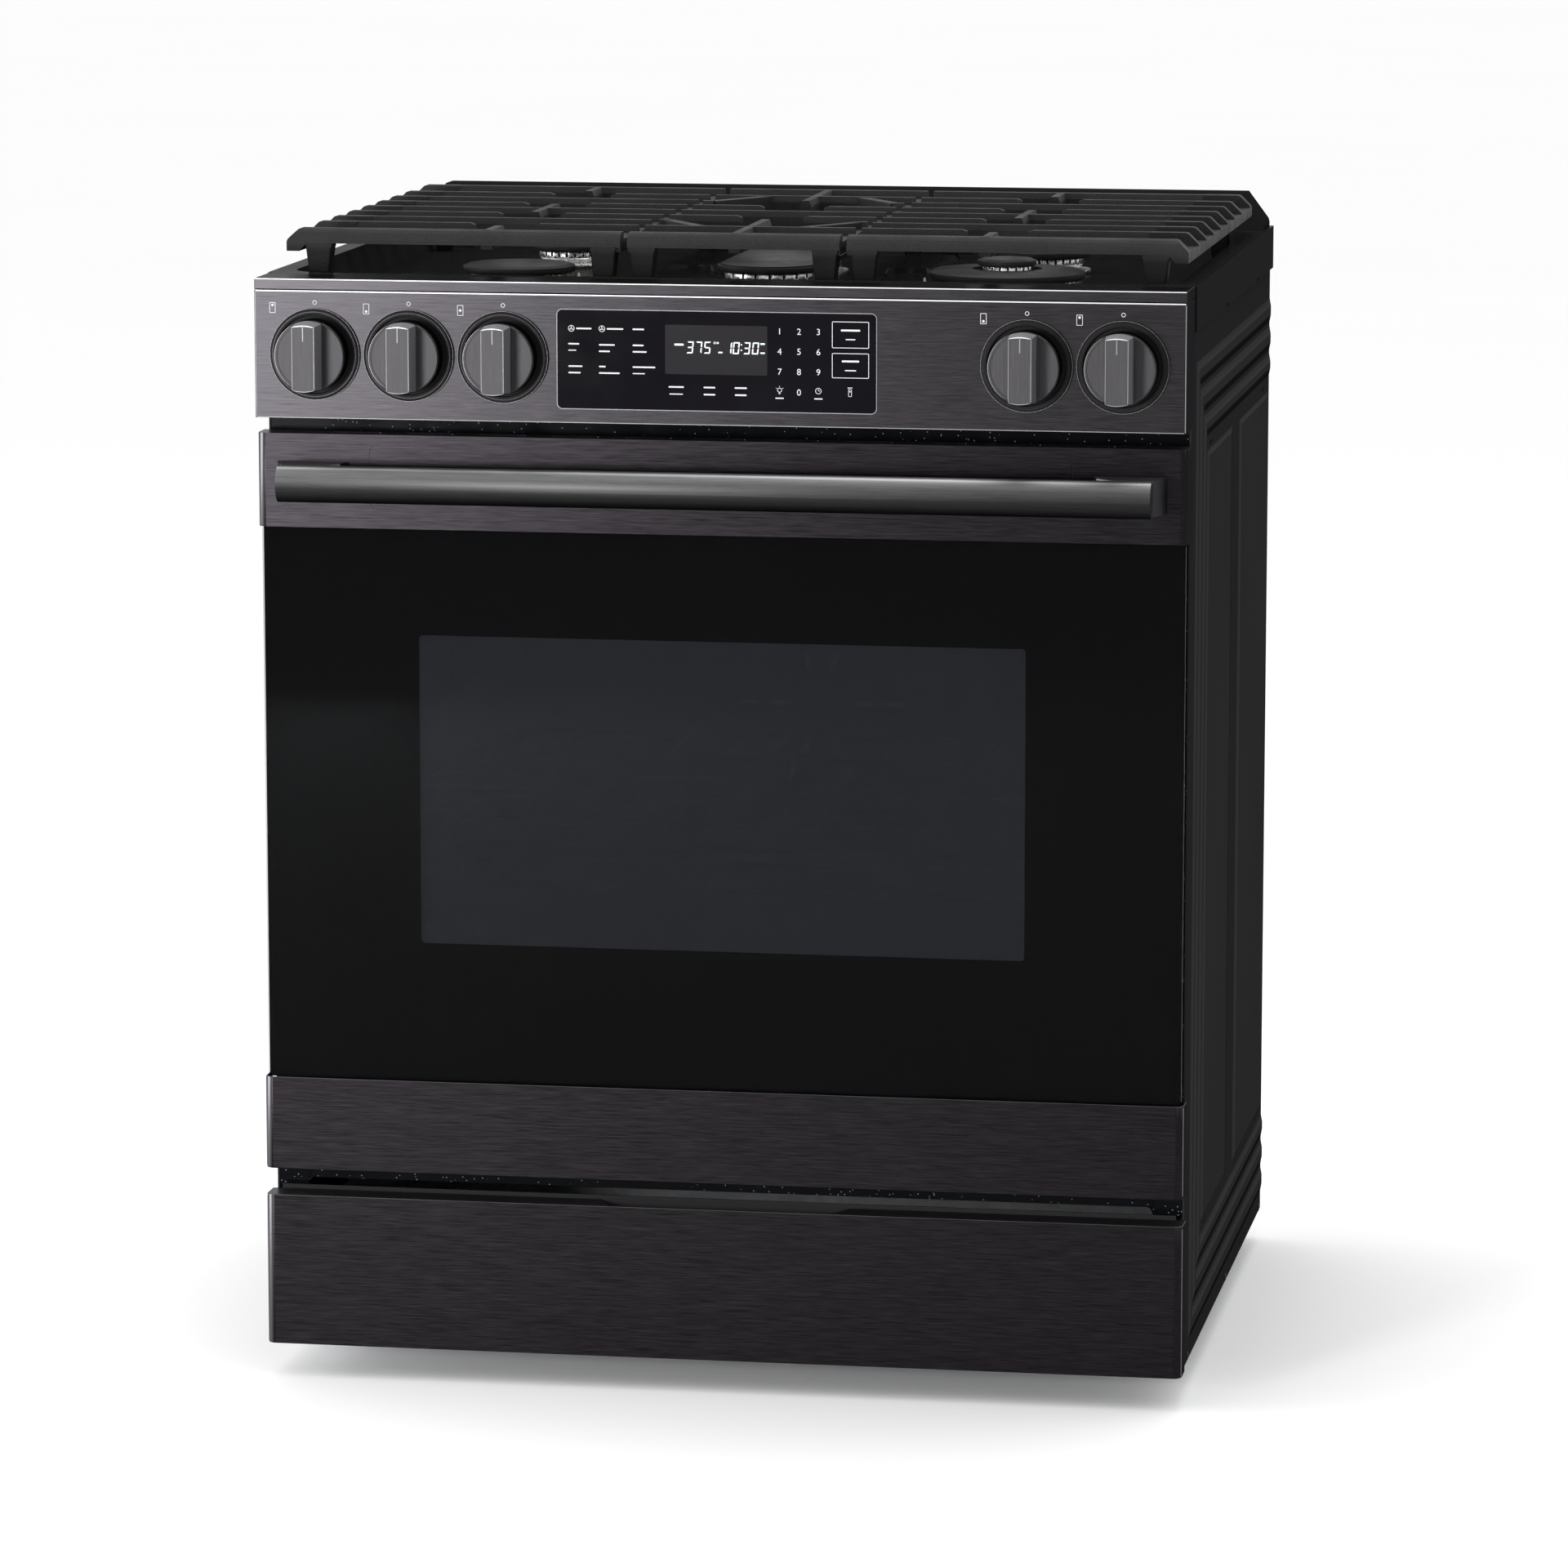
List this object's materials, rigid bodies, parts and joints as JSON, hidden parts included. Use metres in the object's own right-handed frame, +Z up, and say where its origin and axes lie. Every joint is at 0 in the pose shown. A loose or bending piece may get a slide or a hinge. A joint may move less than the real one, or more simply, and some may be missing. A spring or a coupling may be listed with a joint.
{
  "type": "freestanding gas range",
  "caption": "Freestanding gas range with front control panel, cast grates over sealed burners, glass oven door that folds down, wire racks and a storage drawer.",
  "frame": {"origin": "centre of the footprint on the floor, at the underside of the levelling legs", "axes": "+Z up; the oven door, drawer and controls face -Y; +X is to the right of a person facing the range"},
  "size_m": [0.761, 0.707, 0.946],
  "materials": {
    "side_paint": "satin dark grey paint",
    "galvanised_steel": "zinc-coated sheet",
    "speckled_enamel": "blue-black enamel with fine white specks",
    "cooktop_enamel": "gloss black enamel",
    "black_steel": "brushed black stainless steel",
    "cast_iron": "matte coated cast iron",
    "cap_enamel": "matte black enamel",
    "burner_alloy": "cast, satin",
    "ceramic": "glazed ceramic",
    "oven_glass": "tinted glass",
    "touch_panel": "gloss black glass",
    "circuit_board": "solder mask",
    "chrome_wire": "bright plated wire",
    "valve_brass": "machined",
    "tube_alloy": "drawn tube",
    "seal": "woven rope seal",
    "blanket": "mineral fibre",
    "black_plastic": "moulded",
    "knob_metal": "brushed dark metal",
    "spindle_steel": "machined"
  },
  "bodies": {
    "cabinet": {"back_panel": "galvanised_steel", "bake_burner": "galvanised_steel", "base_pan": "galvanised_steel", "broil_burner": "galvanised_steel", "burner_heads": "burner_alloy", "control_board": "circuit_board", "control_panel": "black_steel", "control_panel_trim": "black_steel", "cooktop_pan": "cooktop_enamel", "door_gasket": "seal", "drawer_rails": "galvanised_steel", "fan_cover": "speckled_enamel", "fan_motor": "galvanised_steel", "front_frame": "speckled_enamel", "gas_manifold": "tube_alloy", "gas_regulator": "tube_alloy", "gas_valves": "valve_brass", "hinge_receivers": "galvanised_steel", "igniters": "ceramic", "knob_bezels": "black_steel", "levelling_legs": "black_plastic", "oven_cavity": "speckled_enamel", "oven_insulation": "blanket", "oven_lamp": "oven_glass", "power_inlet": "black_plastic", "rear_vent_trim": "cooktop_enamel", "side_panel_left": "side_paint", "side_panel_right": "side_paint", "touch_glass": "touch_panel"},
    "door": {"door_liner": "speckled_enamel", "door_outer_glass": "oven_glass", "door_inner_glass": "oven_glass", "door_top_strip": "black_steel", "door_lower_strip": "black_steel", "door_handle": "black_steel", "door_hinges": "galvanised_steel"},
    "drawer": {"drawer_front": "black_steel", "drawer_inner_panel": "side_paint", "drawer_box": "galvanised_steel"},
    "rack_upper": {"rack_upper": "chrome_wire"},
    "rack_lower": {"rack_lower": "chrome_wire"},
    "fan_blade": {"fan_blade": "galvanised_steel"},
    "grate_left": {"grate_left": "cast_iron"},
    "grate_centre": {"grate_centre": "cast_iron"},
    "grate_right": {"grate_right": "cast_iron"},
    "cap_front_left": {"cap_front_left": "cap_enamel"},
    "cap_rear_left": {"cap_rear_left": "cap_enamel"},
    "cap_centre": {"cap_centre": "cap_enamel"},
    "cap_front_right_outer": {"cap_front_right_outer": "cap_enamel"},
    "cap_front_right_inner": {"cap_front_right_inner": "cap_enamel"},
    "cap_rear_right": {"cap_rear_right": "cap_enamel"},
    "valve_spindle_rear_left": {"valve_spindle_rear_left": "spindle_steel"},
    "knob_rear_left": {"knob_rear_left": "knob_metal"},
    "valve_spindle_front_left": {"valve_spindle_front_left": "spindle_steel"},
    "knob_front_left": {"knob_front_left": "knob_metal"},
    "valve_spindle_centre": {"valve_spindle_centre": "spindle_steel"},
    "knob_centre": {"knob_centre": "knob_metal"},
    "valve_spindle_front_right": {"valve_spindle_front_right": "spindle_steel"},
    "knob_front_right": {"knob_front_right": "knob_metal"},
    "valve_spindle_rear_right": {"valve_spindle_rear_right": "spindle_steel"},
    "knob_rear_right": {"knob_rear_right": "knob_metal"}
  },
  "joints": [
    {"name": "door_hinge", "type": "hinge", "parent": "cabinet", "child": "door", "pos_m": [0, -0.2795, 0.182], "axis": [1, 0, 0], "range_deg": [0, 90], "stiffness_Nm_per_rad": 20, "springref_deg": -22.92},
    {"name": "drawer_slide", "type": "slide", "parent": "cabinet", "child": "drawer", "axis": [0, -1, 0], "range_m": [0, 0.35]},
    {"name": "rack_upper_slide", "type": "slide", "parent": "cabinet", "child": "rack_upper", "axis": [0, -1, 0], "range_m": [0, 0.24]},
    {"name": "rack_lower_slide", "type": "slide", "parent": "cabinet", "child": "rack_lower", "axis": [0, -1, 0], "range_m": [0, 0.24]},
    {"name": "fan_spin", "type": "hinge", "parent": "cabinet", "child": "fan_blade", "pos_m": [0, 0.2325, 0.498], "axis": [0, 1, 0], "continuous": true},
    {"name": "grate_left_lift", "type": "slide", "parent": "cabinet", "child": "grate_left", "axis": [0, 0, 1], "range_m": [0, 0.15]},
    {"name": "grate_centre_lift", "type": "slide", "parent": "cabinet", "child": "grate_centre", "axis": [0, 0, 1], "range_m": [0, 0.15]},
    {"name": "grate_right_lift", "type": "slide", "parent": "cabinet", "child": "grate_right", "axis": [0, 0, 1], "range_m": [0, 0.15]},
    {"name": "cap_front_left_lift", "type": "slide", "parent": "cabinet", "child": "cap_front_left", "axis": [0, 0, 1], "range_m": [0, 0.012]},
    {"name": "cap_rear_left_lift", "type": "slide", "parent": "cabinet", "child": "cap_rear_left", "axis": [0, 0, 1], "range_m": [0, 0.012]},
    {"name": "cap_centre_lift", "type": "slide", "parent": "cabinet", "child": "cap_centre", "axis": [0, 0, 1], "range_m": [0, 0.012]},
    {"name": "cap_front_right_outer_lift", "type": "slide", "parent": "cabinet", "child": "cap_front_right_outer", "axis": [0, 0, 1], "range_m": [0, 0.012]},
    {"name": "cap_front_right_inner_lift", "type": "slide", "parent": "cabinet", "child": "cap_front_right_inner", "axis": [0, 0, 1], "range_m": [0, 0.008]},
    {"name": "cap_rear_right_lift", "type": "slide", "parent": "cabinet", "child": "cap_rear_right", "axis": [0, 0, 1], "range_m": [0, 0.012]},
    {"name": "knob_rear_left_turn", "type": "hinge", "parent": "cabinet", "child": "valve_spindle_rear_left", "pos_m": [-0.3287, -0.3015, 0.8513], "axis": [0, -1, 0], "range_deg": [0, 270]},
    {"name": "knob_rear_left_push", "type": "slide", "parent": "valve_spindle_rear_left", "child": "knob_rear_left", "axis": [0, 1, 0], "range_m": [0, 0.004], "stiffness_N_per_m": 1000, "springref_m": -0.005},
    {"name": "knob_front_left_turn", "type": "hinge", "parent": "cabinet", "child": "valve_spindle_front_left", "pos_m": [-0.2512, -0.3015, 0.8513], "axis": [0, -1, 0], "range_deg": [0, 270]},
    {"name": "knob_front_left_push", "type": "slide", "parent": "valve_spindle_front_left", "child": "knob_front_left", "axis": [0, 1, 0], "range_m": [0, 0.004], "stiffness_N_per_m": 1000, "springref_m": -0.005},
    {"name": "knob_centre_turn", "type": "hinge", "parent": "cabinet", "child": "valve_spindle_centre", "pos_m": [-0.1737, -0.3015, 0.8513], "axis": [0, -1, 0], "range_deg": [0, 270]},
    {"name": "knob_centre_push", "type": "slide", "parent": "valve_spindle_centre", "child": "knob_centre", "axis": [0, 1, 0], "range_m": [0, 0.004], "stiffness_N_per_m": 1000, "springref_m": -0.005},
    {"name": "knob_front_right_turn", "type": "hinge", "parent": "cabinet", "child": "valve_spindle_front_right", "pos_m": [0.251, -0.3015, 0.8513], "axis": [0, -1, 0], "range_deg": [0, 270]},
    {"name": "knob_front_right_push", "type": "slide", "parent": "valve_spindle_front_right", "child": "knob_front_right", "axis": [0, 1, 0], "range_m": [0, 0.004], "stiffness_N_per_m": 1000, "springref_m": -0.005},
    {"name": "knob_rear_right_turn", "type": "hinge", "parent": "cabinet", "child": "valve_spindle_rear_right", "pos_m": [0.328, -0.3015, 0.8513], "axis": [0, -1, 0], "range_deg": [0, 270]},
    {"name": "knob_rear_right_push", "type": "slide", "parent": "valve_spindle_rear_right", "child": "knob_rear_right", "axis": [0, 1, 0], "range_m": [0, 0.004], "stiffness_N_per_m": 1000, "springref_m": -0.005}
  ],
  "couplings": [
    {"joint": "rack_upper_slide", "follows": "door_hinge", "m_per_rad": 0.15},
    {"joint": "rack_lower_slide", "follows": "door_hinge", "m_per_rad": 0.15}
  ]
}
